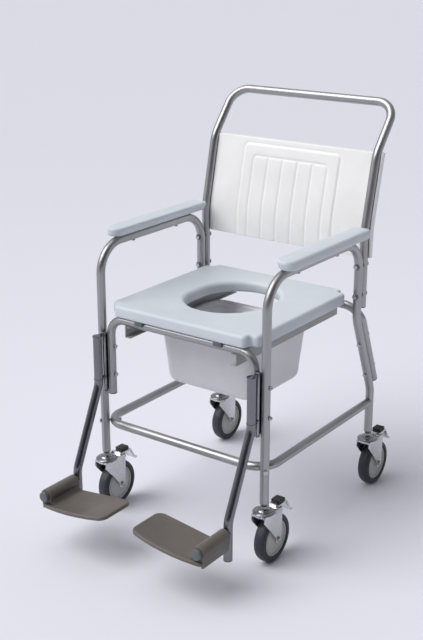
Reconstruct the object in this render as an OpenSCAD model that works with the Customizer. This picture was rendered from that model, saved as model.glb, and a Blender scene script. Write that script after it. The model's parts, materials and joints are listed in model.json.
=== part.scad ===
// Attendant-propelled commode and shower chair on four braked castors.
// Front of the chair faces -Y, its left side is -X, the floor is Z = 0.

/* [Tube] */
// Outside diameter of every frame tube
tube_d = 22.2; // [20:0.1:24]
// Wall of every frame tube
tube_wall = 1.6; // [1.2:0.1:2.5]

/* [Side frames] */
// Distance between the centres of the left and right legs
leg_span = 500; // [480:5:540]
// Distance from the front legs back to the upper rear legs
arm_length = 424; // [400:2:450]
// Height of the arm tube's centre
arm_z = 731; // [700:1:760]
// Height of the lower ends of the legs
leg_end_z = 173; // [165:1:180]
// Height where the rear legs start to splay back
splay_top_z = 522; // [505:1:535]
// Height where the rear legs turn upright again
splay_low_z = 297; // [285:1:310]
// How far back the splay takes the rear legs
splay_reach = 93; // [80:1:105]
// Radius of the two bends at the ends of the arm
arm_bend = 75; // [60:1:90]

/* [Back] */
// Height of the lower ends of the back uprights
upright_end_z = 551; // [550:1:560]
// Height where the uprights start to lean back
lean_z = 751; // [740:1:770]
// Lean of the back
lean = 12.9; // [8:0.1:16]
// Height where the uprights turn into the push handle
kink_z = 940; // [920:1:960]
// Angle of the push handle from upright
handle_lean = 39; // [25:1:50]
// Height of the push handle's centre
handle_z = 1057; // [1030:1:1080]
// Height of the back panel's lower edge
panel_low_z = 680; // [660:1:700]
// Thickness of the back panel
panel_t = 15; // [10:1:20]

/* [Seat] */
// Height of the seat's top
seat_z = 590; // [580:1:600]
// Thickness of the seat
seat_t = 30; // [24:1:36]
// Width of the seat
seat_w = 446; // [420:1:450]
// Width of the opening in the seat
hole_w = 214; // [190:1:230]
// Length of the opening in the seat
hole_l = 262; // [235:1:290]

/* [Pan] */
// Width of the pan under its rim
pan_w = 302; // [270:1:306]
// Length of the pan under its rim
pan_l = 262; // [240:1:290]
// Depth of the pan
pan_h = 156; // [120:1:160]
// How far the pan's front lies behind the front legs
pan_y = 98; // [80:1:120]

/* [Footrests] */
// Height of the top of the swing-away hangers
hanger_top_z = 508; // [500:1:512]
// How far the hanger's foot lies ahead of the front legs
hanger_reach = 130; // [120:1:145]
// Height of the footplate's hinge
footplate_z = 145; // [138:1:160]
// Width of the footplate from its hinge to its inner edge
footplate_w = 192; // [160:1:200]
// Length of the footplate's barrel
barrel_l = 104; // [90:1:115]
// Upward tilt of the footplate in use
footplate_tilt = 7; // [0:1:12]

/* [Castors] */
// Diameter of the castor wheels
wheel_d = 125; // [120:1:128]
// Width of the tyres
tyre_w = 32; // [26:1:32]
// How far the axle trails behind the stem
trail = 37; // [30:1:40]

/* [Hidden] */
$fn = 64;
SIDES = [["left", -1], ["right", 1]];
CORNERS = ["front_left", "front_right", "rear_left", "rear_right"];
CASTOR_PIECES = ["fork", "axle", "tyre", "rim", "brake_pedal", "pedal_insert"];

tube_r = tube_d / 2;
bore_r = tube_r - tube_wall;
leg_x = leg_span / 2;
run_gap = 0.06;      // radial running clearance of pins, axles and stems
part_gap = 0.3;      // gap between pieces that move past each other
press_gap = 0.02;    // gap of parts that are pressed or bolted together
cut = 1;             // how far a cutting shape runs past the face that it cuts
lap = 0.5;           // how far a straight tube runs into its bend
swell = 0.15;        // how much a bend's wall stands proud of the straights, inside and out
plug_head_h = 3;     // plugs in the open tube ends
plug_l = 12;
plug_gap = 0.2;

// side frame
splay = atan(splay_reach / (splay_top_z - splay_low_z));
rear_leg_y = arm_length + splay_reach;

// back frame
nest = tube_d + 1.8;                     // spacing of two tubes bolted side by side
upright_y = arm_length + nest;
kink_y = upright_y + (kink_z - lean_z) * tan(lean);
lean_bend = 80;
handle_bend = 52;
handle_l = (handle_z - kink_z) / cos(handle_lean);
back_bolt_z = [664, 584];

// seat rails
rail_z = seat_z - seat_t - part_gap - tube_r;
stub_x = leg_x - 29;                     // stubs of the front hoop
stub_end_z = 346;
front_hoop_bend = 45;
hoop_bolt_z = [473, 397];
rear_hoop_bend = 50;
rear_rail_y = arm_length + nest / cos(splay) - (rail_z - splay_top_z) * tan(splay);
rear_stub_l = (rail_z - 322) / cos(splay);
rear_bolt_z = [447, 349];                // where the bolts cross the splayed legs

// lower brace
brace_z = 258;
brace_bend = 57;
brace_nest = brace_bend * (sqrt(2) - 1); // leg centre to brace centre, on the diagonal

// bolts
bolt_r = 3;
bolt_head_r = 5.5;
bolt_head_h = 4;
bolt_nut_dome = 0.5;                     // how far the nut's dome sinks into its hexagon
saddle_r = 8;
saddle_h = 2.5;
screw_r = 2.5;                           // screws of the pads and the runners
screw_gap = 0.1;

// seat
seat_front_y = -16;
seat_back_y = rear_rail_y - 2;
seat_notch = 24;
hole_y = 221;
clip_x = 120;
clip_w = 24;
clip_l = 30;
clip_t = 3;
clip_snap = 6;                           // how far a rear clip reaches below the rail's middle
clip_mouth = 9.6;                        // half of a rear clip's mouth, narrower than the rail

// arm pads
pad_w = 56;
pad_t = 24;
pad_front_y = 48;
pad_back_y = upright_y - tube_r - 8;
pad_shift = 4;
pad_z = arm_z + tube_r + 0.1;
pad_screw_y = [130, 310];
pad_screw_head = [5, 3];                 // radius and height
pad_screw_depth = 12;                    // how far a screw reaches into its pad

// back panel
panel_w = leg_span + 32;
panel_top_z = kink_z + 4;
panel_corner = 28;
panel_front_y = upright_y + 3;           // front face below the lean, let in by the uprights
panel_sag = 3;                           // the back face turns this much lower than the front

// pan and runners
rim_w = 14;
rim_t = 4;
runner_x = 170;                          // outer face of a runner
runner_w = 16;
runner_h = 30;
runner_t = 2;
runner_front_y = -6;
runner_back_y = rear_rail_y + 24;
runner_top_z = rail_z - tube_r;
pan_rim_z = runner_top_z - runner_h + runner_t + part_gap + rim_t;
pan_taper = 14;                          // how much each side draws in to the bottom
pan_wall = 3;
pan_corner = 40;
pan_floor_corner = 34;
pan_rim_corner = 44;
runner_screw_x = runner_x - runner_w / 2;
runner_screw_head = [4.5, 2.5];          // radius and height

// footrests
pin_r = 4;
pin_head = [6.2, 3];                     // radius and height
pin_x = (leg_x + stub_x) / 2;
pin_y = -12;
knuckle_r = 6;
lug_t = 4;
lug_r = 7;
lug_arm = 9;                             // width of a lug between its eye and the hanger
knuckle_gap = 0.5;                       // gap over and under a lug
bracket_back_y = 9;
hanger_x = pin_x;
hanger_y = pin_y - 26;
hanger_bend = 60;
hanger_high_z = 376;
hanger_low_z = 172;
hanger_end_z = 75;
low_lug_z = 388;
low_knuckle_z = 352;
web_w = leg_x - stub_x - tube_d - 0.1;   // the gap between leg and stub
axle_r = 9;
axle_bore = [7, 5];                      // radius, and where it starts beyond the hanger tube
barrel_r = 17;
axle_collar = [2, 1.5];                  // how far the weld collar stands out of the axle and the tube
barrel_y = -hanger_reach - tube_r - 2;   // rear face of the footplate's barrel
plate_t = 9;
plate_drop = 20;                         // hinge axis down to the plate's top
plate_bow_r = 420;
plate_bow = plate_bow_r * (1 - cos(asin(footplate_w / 2 / plate_bow_r)));
plate_front = 8;                         // plate beyond the barrel's front
plate_l = barrel_l + plate_front + plate_bow;
plate_lip = [5, 2.5];                    // width and height of the raised lip
plate_skirt_t = 5;                       // wall outside the barrel, down to the plate
plate_skirt_drop = 6;                    // how far that wall hangs below the plate
plate_corner = 22;
plate_web = 26;                          // web that carries the barrel on the plate
cap_r = 13;
cap_l = 10;
cap_plug_l = 14;

// castors
wheel_r = wheel_d / 2;
head_r = 28.5;
crown_z = 146;                           // top of the fork's crown
crown_t = 7;
race_h = 6;
race_gap = 0.5;                          // gap between the crown and the race over it
neck_r = 8.5;
stem_r = 5;
stem_drop = 14;                          // how far the stem reaches below the crown's top
stem_nut = [8, 4];                       // radius and height
stem_plug_l = 30;
castor_axle_r = 4;
axle_head = [7, 5];                      // radius and height
fork_t = 2.5;
fork_gap = 36;
fork_w = fork_gap + 2 * fork_t;
fork_foot_r = 11;
fork_scoop = [-36, 6, 48];               // concave front edge: Y, height over the axle, radius
crown_front = 24;                        // flat of the crown before and behind the stem
rim_r = 46;
rim_web = 12;                            // thickness of the rim's disc
rim_edge = 3;                            // how far the rim's edge lies inside the tyre's side
hub_w = 35;
hub_r = 13;
tyre_crown = 40;                         // radius of the tyre's rounded tread, side to side
pivot = [44, 137];                       // brake pedal's pivot, Y and Z
pivot_r = 3;
pivot_boss_r = 5.5;
pedal_w = 28;
pedal_t = 4;
pedal_z = crown_z + 3;                   // top of the pedal
pedal_tip_z = 116;
pedal_reach = 108;                       // stem to the pedal's tip
insert_y = 50;
insert_l = 26;
insert_h = 9;
insert_margin = 2;                       // bare metal at each side of the insert
groove_pitch = 4.4;
groove = [1.6, 1.5];                     // width and depth

// whole chair: the origin is the middle of its footprint
front_end = barrel_y - part_gap - plate_l;
rear_end = rear_leg_y + pedal_reach;
front_y = -(front_end + rear_end) / 2;

// a corner's name starts with f at the front, and only a left one has an l four letters from its end
function castor_at(corner) = [
    (corner[len(corner) - 4] == "l" ? -1 : 1) * leg_x,
    corner[0] == "f" ? 0 : rear_leg_y,
    0];

// Y and Z of a point on the push handle, some way above its kink
function handle_point(l) = [kink_y, kink_z] + l * [sin(handle_lean), cos(handle_lean)];

// ---- helpers ----

module placed() translate([0, front_y, 0]) children();

module both_sides() for (s = SIDES) on_side(s[1]) children();

module on_side(sx) if (sx < 0) mirror([1, 0, 0]) children(); else children();

// plane of the chair's side: the outline's X runs along Y and its Y runs up
module side_plane(x) translate([x, 0, 0]) rotate([90, 0, 90]) children();

module ring(r, t) difference() {
    circle(r);
    if (t < r) circle(r - t);
}

function heading(p, q) = atan2(q[1] - p[1], q[0] - p[0]);
function turn_at(pts, i) = let (t = heading(pts[i], pts[i + 1]) - heading(pts[i - 1], pts[i]))
    t > 180 ? t - 360 : t < -180 ? t + 360 : t;
function trim_at(pts, i, bend) =
    i == 0 || i == len(pts) - 1 ? 0 : bend * tan(abs(turn_at(pts, i)) / 2);

// a bent tube that follows flat points, with the same radius at each corner; each bend is a hair
// thicker than the straights, which run a little way into it
module tube_path(pts, bend, r = tube_r, t = tube_wall) {
    for (i = [0 : len(pts) - 2]) {
        a = heading(pts[i], pts[i + 1]);
        from = trim_at(pts, i, bend) - (i > 0 ? lap : 0);
        to = trim_at(pts, i + 1, bend) - (i < len(pts) - 2 ? lap : 0);
        translate(pts[i] + from * [cos(a), sin(a)]) rotate([90, 0, a + 90])
            linear_extrude(norm(pts[i + 1] - pts[i]) - from - to) ring(r, t);
    }
    if (len(pts) > 2) for (i = [1 : len(pts) - 2]) {
        a = heading(pts[i - 1], pts[i]);
        turn = turn_at(pts, i);
        s = sign(turn);
        start = pts[i] - trim_at(pts, i, bend) * [cos(a), sin(a)];
        translate(start + s * bend * [-sin(a), cos(a)])
            rotate(a - s * 90 + min(turn, 0))
                rotate_extrude(angle = abs(turn))
                    translate([bend, 0]) ring(r + swell, t + 2 * swell);
    }
}

module rounded(w, d, r) {
    square([w - 2 * r, d], center = true);
    square([w, d - 2 * r], center = true);
    for (x = [-1, 1], y = [-1, 1]) translate([x * (w / 2 - r), y * (d / 2 - r)]) circle(r);
}

// bolt along +X through a grip centred on its origin, with a domed nut at the far end
module bolt(grip) rotate([0, 90, 0]) {
    cylinder(r = bolt_r, h = grip + 2, center = true);
    translate([0, 0, -grip / 2 - bolt_head_h]) cylinder(r = bolt_head_r, h = bolt_head_h);
    translate([0, 0, grip / 2]) cylinder(r = bolt_head_r, h = bolt_head_h, $fn = 6);
    translate([0, 0, grip / 2 + bolt_head_h - bolt_nut_dome]) intersection() {
        sphere(r = bolt_head_r - 1);
        cylinder(r = bolt_head_r, h = bolt_head_r);
    }
}

module bolt_hole(grip = 2 * tube_d) rotate([0, 90, 0])
    cylinder(r = bolt_r + screw_gap, h = grip, center = true);

module screw_hole() cylinder(r = screw_r + screw_gap, h = 2 * tube_d, center = true);

// plug for the open end of a tube, its head below Z = 0
module tube_plug() {
    translate([0, 0, -plug_head_h]) cylinder(r = tube_r, h = plug_head_h);
    cylinder(r = bore_r - plug_gap, h = plug_l);
}

// ---- frame ----

function side_run() = [[0, leg_end_z], [0, arm_z], [arm_length, arm_z],
    [arm_length, splay_top_z], [rear_leg_y, splay_low_z], [rear_leg_y, leg_end_z]];

module side_frame(sx) color("lightgray") difference() {
    side_plane(sx * leg_x) tube_path(side_run(), arm_bend);
    for (z = hoop_bolt_z) translate([sx * leg_x, 0, z]) bolt_hole();
    for (z = back_bolt_z) translate([sx * leg_x, arm_length, z]) rotate(90) bolt_hole();
    for (z = rear_bolt_z) at_rear_bolt(sx, z) bolt_hole();
    translate([sx * leg_x, 0, brace_z]) rotate(-sx * 45) bolt_hole();
    for (y = pad_screw_y) translate([sx * leg_x, y, arm_z]) screw_hole();
}

// on the splayed leg's centre line at a height, with +X pointing square out of its back
module at_rear_bolt(sx, z)
    translate([sx * leg_x, arm_length + (splay_top_z - z) * tan(splay), z])
        rotate([splay, 0, 0]) rotate(90) children();

module back_frame() color("lightgray") difference() {
    union() {
        both_sides() side_plane(leg_x) tube_path([[upright_y, upright_end_z], [upright_y, lean_z],
            [kink_y, kink_z], handle_point(handle_l - handle_bend + lap)], lean_bend);
        translate([0, kink_y, kink_z]) rotate([90 - handle_lean, 0, 0])
            tube_path([[-leg_x, handle_l - handle_bend], [-leg_x, handle_l],
                [leg_x, handle_l], [leg_x, handle_l - handle_bend]], handle_bend);
    }
    both_sides() for (z = back_bolt_z) translate([leg_x, upright_y, z]) rotate(90) bolt_hole();
}

module front_hoop() color("lightgray") difference() {
    rotate([90, 0, 0]) tube_path([[-stub_x, stub_end_z], [-stub_x, rail_z],
        [stub_x, rail_z], [stub_x, stub_end_z]], front_hoop_bend);
    both_sides() {
        for (z = hoop_bolt_z) translate([stub_x, 0, z]) bolt_hole();
        translate([runner_screw_x, 0, rail_z]) screw_hole();
    }
}

module rear_hoop() color("lightgray") difference() {
    translate([0, rear_rail_y, rail_z]) rotate([90 + splay, 0, 0]) tube_path([[-leg_x, -rear_stub_l],
        [-leg_x, 0], [leg_x, 0], [leg_x, -rear_stub_l]], rear_hoop_bend);
    for (s = SIDES, z = rear_bolt_z) at_rear_bolt(s[1], z) translate([nest, 0, 0]) bolt_hole();
    both_sides() translate([runner_screw_x, rear_rail_y, rail_z]) screw_hole();
}

module lower_brace() color("lightgray") difference() {
    translate([0, 0, brace_z]) tube_path([[-leg_x, rear_leg_y], [-leg_x, 0],
        [leg_x, 0], [leg_x, rear_leg_y]], brace_bend);
    both_sides() {
        translate([leg_x, rear_leg_y, brace_z])
            cylinder(r = tube_r + press_gap, h = 2 * tube_d, center = true);
        translate([leg_x, rear_leg_y + tube_r, brace_z]) cube(tube_d + cut, center = true);
        translate([leg_x, 0, brace_z]) rotate(-45) translate([-brace_nest, 0, 0]) bolt_hole();
    }
}

module back_panel() color("white") difference() {
    intersection() {
        side_plane(-panel_w / 2) linear_extrude(panel_w) polygon([
            [panel_front_y, panel_low_z],
            [panel_front_y, lean_z],
            [panel_front_y + (panel_top_z - lean_z) * tan(lean), panel_top_z],
            [panel_front_y + (kink_z - lean_z) * tan(lean) + panel_t, panel_top_z - panel_sag],
            [panel_front_y + panel_t, lean_z - panel_sag],
            [panel_front_y + panel_t, panel_low_z]]);
        translate([0, 2 * upright_y, (panel_low_z + panel_top_z) / 2]) rotate([90, 0, 0])
            linear_extrude(2 * upright_y) rounded(panel_w, panel_top_z - panel_low_z, panel_corner);
    }
    for (s = SIDES) side_plane(s[1] * leg_x)
        tube_path([[upright_y, panel_low_z - tube_d], [upright_y, lean_z], [kink_y, kink_z],
            handle_point(handle_l)], lean_bend, tube_r + 2 * plug_gap, tube_r + 2 * plug_gap);
}

module arm_pad() color("lightsteelblue") difference() {
    translate([leg_x + pad_shift, (pad_front_y + pad_back_y) / 2, pad_z])
        linear_extrude(pad_t) rounded(pad_w, pad_back_y - pad_front_y, pad_w / 2 - 1);
    for (y = pad_screw_y) translate([leg_x, y, pad_z - cut])
        cylinder(r = screw_r + run_gap, h = pad_screw_depth + 2 * cut);
}

module arm_pad_screws() color("gray") both_sides() for (y = pad_screw_y)
    translate([leg_x, y, arm_z - tube_r - pad_screw_head[1]]) {
        cylinder(r = pad_screw_head[0], h = pad_screw_head[1]);
        cylinder(r = screw_r, h = pad_screw_head[1] + tube_d + pad_screw_depth);
    }

// shaped washers that seat the bolts on the round tubes
module back_saddles() color("dimgray") for (s = SIDES, z = back_bolt_z)
    difference() {
        translate([s[1] * leg_x, 0, z]) rotate([-90, 0, 0]) {
            translate([0, 0, arm_length - tube_r - saddle_h]) cylinder(r = saddle_r, h = 2 * saddle_h);
            translate([0, 0, upright_y + tube_r - saddle_h]) cylinder(r = saddle_r, h = 2 * saddle_h);
            translate([0, 0, arm_length + nest / 2]) cylinder(r = saddle_r, h = saddle_r, center = true);
        }
        side_plane(s[1] * leg_x)
            tube_path(side_run(), arm_bend, tube_r + 2 * press_gap, tube_r + 2 * press_gap);
        translate([s[1] * leg_x, upright_y, z])
            cylinder(r = tube_r + press_gap, h = 4 * saddle_r, center = true);
        translate([s[1] * leg_x, arm_length, z]) rotate(90) bolt_hole(6 * tube_d);
    }

module back_frame_bolts() color("silver") for (s = SIDES, z = back_bolt_z)
    translate([s[1] * leg_x, arm_length + nest / 2, z]) rotate(90) bolt(nest + tube_d + 2 * saddle_h);

module front_hoop_bolts() color("silver") both_sides() for (z = hoop_bolt_z)
    translate([pin_x, 0, z]) bolt(leg_x - stub_x + tube_d);

module rear_hoop_bolts() color("silver") for (s = SIDES, z = rear_bolt_z)
    at_rear_bolt(s[1], z) translate([nest / 2, 0, 0]) bolt(nest + tube_d);

// these cross the brace in its bend, whose wall stands a little proud
module brace_bolts() color("silver") both_sides() translate([leg_x, 0, brace_z]) rotate(135)
    translate([(brace_nest + swell) / 2, 0, 0]) bolt(brace_nest + tube_d + swell);

module tube_end_plugs() color("dimgray") both_sides() {
    translate([stub_x, 0, stub_end_z]) tube_plug();
    translate([leg_x, upright_y, upright_end_z]) tube_plug();
    translate([leg_x, rear_rail_y, rail_z]) rotate([splay, 0, 0])
        translate([0, 0, -rear_stub_l]) tube_plug();
}

module pan_runner() color("gainsboro") difference() {
    translate([runner_x - runner_w, runner_front_y, runner_top_z - runner_h])
        cube([runner_w, runner_back_y - runner_front_y, runner_h]);
    translate([runner_x - runner_w - cut, runner_front_y - cut, runner_top_z - runner_h + runner_t])
        cube([runner_w + cut - runner_t, runner_back_y - runner_front_y + 2 * cut, runner_h - 2 * runner_t]);
    for (y = [0, rear_rail_y]) translate([runner_screw_x, y, runner_top_z - runner_t - cut])
        cylinder(r = screw_r + screw_gap, h = runner_t + 2 * cut);
}

module runner_screws() color("silver") both_sides() for (y = [0, rear_rail_y])
    translate([runner_screw_x, y, runner_top_z - runner_t]) {
        translate([0, 0, -runner_screw_head[1]]) cylinder(r = runner_screw_head[0], h = runner_screw_head[1]);
        cylinder(r = screw_r, h = runner_t + tube_r);
    }

// spacer web between leg and hoop, with the knuckles of the footrest's hinge on its front edge
module hinge_bracket() color("silver") difference() {
    union() {
        knuckle(low_knuckle_z, low_lug_z - knuckle_gap);
        knuckle(low_lug_z + lug_t + knuckle_gap, hanger_top_z - lug_t - knuckle_gap);
        translate([pin_x - web_w / 2, pin_y + lug_r + cut, low_knuckle_z])
            cube([web_w, bracket_back_y - pin_y - lug_r - cut,
                hanger_top_z - lug_t - knuckle_gap - low_knuckle_z]);
    }
    translate([pin_x, pin_y, low_knuckle_z - cut])
        cylinder(r = pin_r + run_gap, h = hanger_top_z - low_knuckle_z);
    for (z = hoop_bolt_z) translate([pin_x, 0, z]) bolt_hole();
}

// round knuckle and the web behind it, between two heights
module knuckle(low, high) {
    translate([pin_x, pin_y, low]) cylinder(r = knuckle_r, h = high - low);
    translate([pin_x - web_w / 2, pin_y, low]) cube([web_w, bracket_back_y - pin_y, high - low]);
}

// ---- seat and pan ----

module seat() color("lightsteelblue") difference() {
    translate([0, (seat_front_y + seat_back_y) / 2, seat_z - seat_t])
        linear_extrude(seat_t) rounded(seat_w, seat_back_y - seat_front_y, 12);
    translate([0, hole_y, seat_z - seat_t - cut]) linear_extrude(seat_t + 2 * cut) {
        for (s = [-1, 1]) translate([0, s * (hole_l - hole_w) / 2]) circle(hole_w / 2);
        square([hole_w, hole_l - hole_w], center = true);
    }
    both_sides() {
        for (y = [seat_front_y, seat_back_y]) translate([seat_w / 2, y, seat_z])
            cube([2 * seat_notch, 2 * seat_notch, 3 * seat_t], center = true);
        for (y = [0, rear_rail_y]) translate([clip_x, y, seat_z - seat_t])
            cube([clip_w, clip_l, 2 * clip_t] + 2 * screw_gap * [1, 1, 1], center = true);
    }
}

// clips let into the seat's underside: the rear pair snaps round the rear rail and turns on it,
// the front pair drops over the front rail
module seat_clips() color("dimgray") both_sides() for (y = [0, rear_rail_y]) {
    low = y == 0 ? 0 : -clip_snap;
    mouth = y == 0 ? tube_r + part_gap : clip_mouth;
    translate([clip_x, y, rail_z]) difference() {
        translate([-clip_w / 2, -clip_l / 2, low])
            cube([clip_w, clip_l, tube_r + part_gap + clip_t - low]);
        rotate([0, 90, 0]) cylinder(r = tube_r + part_gap, h = 2 * clip_w, center = true);
        translate([0, 0, -tube_r]) cube([2 * clip_w, 2 * mouth, tube_d], center = true);
    }
}

module pan_hollow(inset, low, top) hull() {
    slice = 0.1;
    shrunk = pan_taper + inset;
    translate([0, 0, top]) linear_extrude(slice)
        rounded(pan_w - 2 * inset, pan_l - 2 * inset, pan_corner - inset, $fn = 32);
    translate([0, 0, low]) linear_extrude(slice)
        rounded(pan_w - 2 * shrunk, pan_l - 2 * shrunk, pan_floor_corner - inset, $fn = 32);
}

module commode_pan() color("whitesmoke") translate([0, pan_y + pan_l / 2, pan_rim_z]) difference() {
    union() {
        pan_hollow(0, -pan_h, -0.1);
        translate([0, 0, -rim_t]) linear_extrude(rim_t)
            rounded(pan_w + 2 * rim_w, pan_l + 2 * rim_w, pan_rim_corner);
    }
    pan_hollow(pan_wall, -pan_h + pan_wall, cut);
}

// ---- footrests ----

module lug(z) translate([0, 0, z]) linear_extrude(lug_t) difference() {
    union() {
        translate([pin_x, pin_y]) circle(lug_r);
        translate([pin_x - lug_arm / 2, hanger_y]) square([lug_arm, pin_y - hanger_y]);
        translate([hanger_x, hanger_y]) circle(tube_r + cut);
    }
    translate([pin_x, pin_y]) circle(pin_r);
}

module hanger_tube() color("silver") union() {
    side_plane(hanger_x) tube_path([[hanger_y, hanger_top_z - 1], [hanger_y, hanger_high_z],
        [-hanger_reach, hanger_low_z], [-hanger_reach, hanger_end_z]], hanger_bend);
    lug(hanger_top_z - lug_t);
    difference() {
        lug(low_lug_z);
        translate([hanger_x, hanger_y, low_lug_z - cut]) cylinder(r = tube_r - lap, h = lug_t + 2 * cut);
    }
    translate([hanger_x, -hanger_reach, footplate_z]) rotate([90, 0, 0]) difference() {
        union() {
            cylinder(r = axle_r, h = tube_r + 2 + barrel_l);
            cylinder(r = axle_r + axle_collar[0], h = tube_r + axle_collar[1]);
        }
        translate([0, 0, tube_r + axle_bore[1]]) cylinder(r = axle_bore[0], h = 2 * barrel_l);
    }
}

module hinge_pin() color("gainsboro") translate([pin_x, pin_y, 0]) {
    translate([0, 0, low_knuckle_z - 2 * pin_head[1]])
        cylinder(r = pin_r, h = hanger_top_z - low_knuckle_z + 2 * pin_head[1]);
    translate([0, 0, hanger_top_z]) cylinder(r = pin_head[0], h = pin_head[1]);
    translate([0, 0, low_knuckle_z - pin_head[1] - cut]) cylinder(r = pin_head[0], h = pin_head[1]);
}

module hanger_plug() color("dimgray") translate([hanger_x, -hanger_reach, hanger_end_z]) tube_plug();

// hollow-hinged plate: the origin is the rear end of its hinge axis
module footplate() color("rosybrown") translate([hanger_x, barrel_y - part_gap, footplate_z])
    rotate([0, footplate_tilt, 0]) difference() {
        union() {
            rotate([90, 0, 0]) cylinder(r = barrel_r, h = barrel_l);
            translate([-footplate_w, -plate_l, -plate_drop - plate_t]) plate_slab();
            translate([barrel_r - plate_skirt_t, -barrel_l, -plate_drop - plate_t - plate_skirt_drop])
                cube([plate_skirt_t, barrel_l, plate_drop + plate_t + plate_skirt_drop]);
            translate([-plate_web / 2, -barrel_l, -plate_drop - cut])
                cube([plate_web, barrel_l, plate_drop]);
        }
        translate([0, cut, 0]) rotate([90, 0, 0]) cylinder(r = axle_r + run_gap, h = barrel_l + 2 * cut);
    }

// plate with a raised lip along its inner and front edges
module plate_slab() {
    linear_extrude(plate_t) plate_outline();
    translate([0, 0, plate_t - cut]) linear_extrude(plate_lip[1] + cut) difference() {
        plate_outline();
        translate([plate_lip[0], plate_lip[0]]) plate_outline();
    }
}

module plate_outline() intersection() {
    translate([(footplate_w + barrel_r) / 2, plate_l / 2])
        rounded(footplate_w + barrel_r, plate_l, plate_corner);
    translate([footplate_w / 2, plate_bow_r]) circle(plate_bow_r, $fn = 128);
}

module axle_cap() color("slategray") translate([hanger_x, barrel_y - barrel_l - 2 * part_gap, footplate_z])
    rotate([90, 0, 0]) {
        cylinder(r = cap_r, h = cap_l);
        translate([0, 0, -cap_plug_l]) cylinder(r = axle_bore[0] - run_gap, h = cap_plug_l + cut);
    }

// ---- castors, drawn with the stem on the Z axis ----

module castor_stems() color("silver") for (c = CORNERS) translate(castor_at(c)) {
    translate([0, 0, leg_end_z - plug_head_h]) cylinder(r = tube_r, h = plug_head_h);
    translate([0, 0, leg_end_z]) cylinder(r = bore_r - plug_gap, h = stem_plug_l);
    translate([0, 0, crown_z + race_h]) cylinder(r = neck_r, h = leg_end_z - crown_z - race_h - plug_head_h);
    translate([0, 0, crown_z + race_gap]) cylinder(r1 = head_r, r2 = head_r - race_h, h = race_h);
    translate([0, 0, crown_z - stem_drop]) cylinder(r = stem_r, h = stem_drop + 2 * cut);
    translate([0, 0, crown_z - stem_drop]) cylinder(r = stem_nut[0], h = stem_nut[1]);
}

// a fork's cheek, from the crown's front edge down to the axle and up to the brake's pivot
function fork_side() = [
    [-crown_front, crown_z],
    [-crown_front - 3, crown_z - 16],
    [trail - fork_foot_r - 1, wheel_r + 8],
    [trail - fork_foot_r, wheel_r - 4],
    [trail + fork_foot_r, wheel_r - 4],
    [trail + fork_foot_r + 3, wheel_r + 34],
    pivot + [8, -6],
    [pivot[0] + 6, crown_z],
    [crown_front, crown_z]];

module fork() color("silver") difference() {
    union() {
        side_plane(-fork_w / 2) linear_extrude(fork_w) difference() {
            union() {
                polygon(fork_side());
                translate([trail, wheel_r]) circle(fork_foot_r);
            }
            translate([fork_scoop[0], wheel_r + fork_scoop[1]]) circle(fork_scoop[2]);
        }
        translate([0, 0, crown_z - crown_t]) cylinder(r = head_r - 1.5, h = crown_t);
    }
    translate([-fork_gap / 2, -wheel_r, 0]) cube([fork_gap, 2 * wheel_d, crown_z - crown_t + 2]);
    translate([-fork_gap / 2, crown_front / 2, 0]) cube([fork_gap, 2 * wheel_d, crown_z + cut]);
    translate([0, 0, crown_z - stem_drop]) cylinder(r = stem_r + run_gap, h = 2 * stem_drop);
    translate([0, trail, wheel_r]) rotate([0, 90, 0])
        cylinder(r = castor_axle_r + press_gap, h = 2 * fork_w, center = true);
    translate([0, pivot[0], pivot[1]]) rotate([0, 90, 0])
        cylinder(r = pivot_r + run_gap, h = 2 * fork_w, center = true);
}

module axle() color("gainsboro") translate([0, trail, wheel_r]) rotate([0, 90, 0]) {
    cylinder(r = castor_axle_r, h = fork_w + axle_head[1], center = true);
    translate([0, 0, fork_w / 2]) cylinder(r = axle_head[0], h = axle_head[1], $fn = 6);
    translate([0, 0, -fork_w / 2 - axle_head[1]]) cylinder(r = axle_head[0], h = axle_head[1]);
}

module tyre() color("darkslategray") translate([0, trail, wheel_r]) rotate([0, 90, 0]) rotate_extrude()
    intersection() {
        translate([rim_r + press_gap, -tyre_w / 2]) square([wheel_r - rim_r - press_gap, tyre_w]);
        translate([wheel_r - tyre_crown, 0]) circle(tyre_crown);
    }

// half of the rim's section, from the hub out to the tyre, on one side of the disc
function rim_half(s) = [
    [castor_axle_r + run_gap, s * hub_w / 2],
    [hub_r, s * hub_w / 2],
    [hub_r + 2, s * rim_web / 2],
    [rim_r - 8, s * rim_web / 2],
    [rim_r - 6, s * (tyre_w / 2 - rim_edge)],
    [rim_r, s * (tyre_w / 2 - rim_edge)]];

module rim() color("darkkhaki") translate([0, trail, wheel_r]) rotate([0, 90, 0]) rotate_extrude()
    polygon(concat(rim_half(-1), [for (i = [5 : -1 : 0]) rim_half(1)[i]]));

// sheet-metal pedal: a boss round the pivot, a tongue that drops to the tyre, and a turned-down tip
function pedal_side() = [
    pivot + [-3, 4],
    [pivot[0], pedal_z],
    [pedal_reach - 26, pedal_z],
    [pedal_reach - 6, pedal_tip_z],
    [pedal_reach, pedal_tip_z],
    [pedal_reach, pedal_tip_z - pedal_t + 0.5],
    [pedal_reach - 8, pedal_tip_z - pedal_t + 0.5],
    [pedal_reach - 29, pedal_z - pedal_t],
    [pivot[0] + 20, pedal_z - pedal_t],
    [pivot[0] + 18, wheel_d + 4],
    [pivot[0] + 12, wheel_d + 6],
    [pivot[0] + 14, pedal_z - pedal_t],
    [pivot[0] + 4, crown_z - 2]];

module brake_pedal() color("silver") {
    difference() {
        side_plane(-pedal_w / 2) linear_extrude(pedal_w) {
            translate(pivot) circle(pivot_boss_r);
            polygon(pedal_side());
        }
        side_plane(-pedal_w) linear_extrude(2 * pedal_w) translate(pivot) circle(pivot_r - lap);
    }
    translate([0, pivot[0], pivot[1]]) rotate([0, 90, 0]) cylinder(r = pivot_r, h = fork_w, center = true);
}

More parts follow.
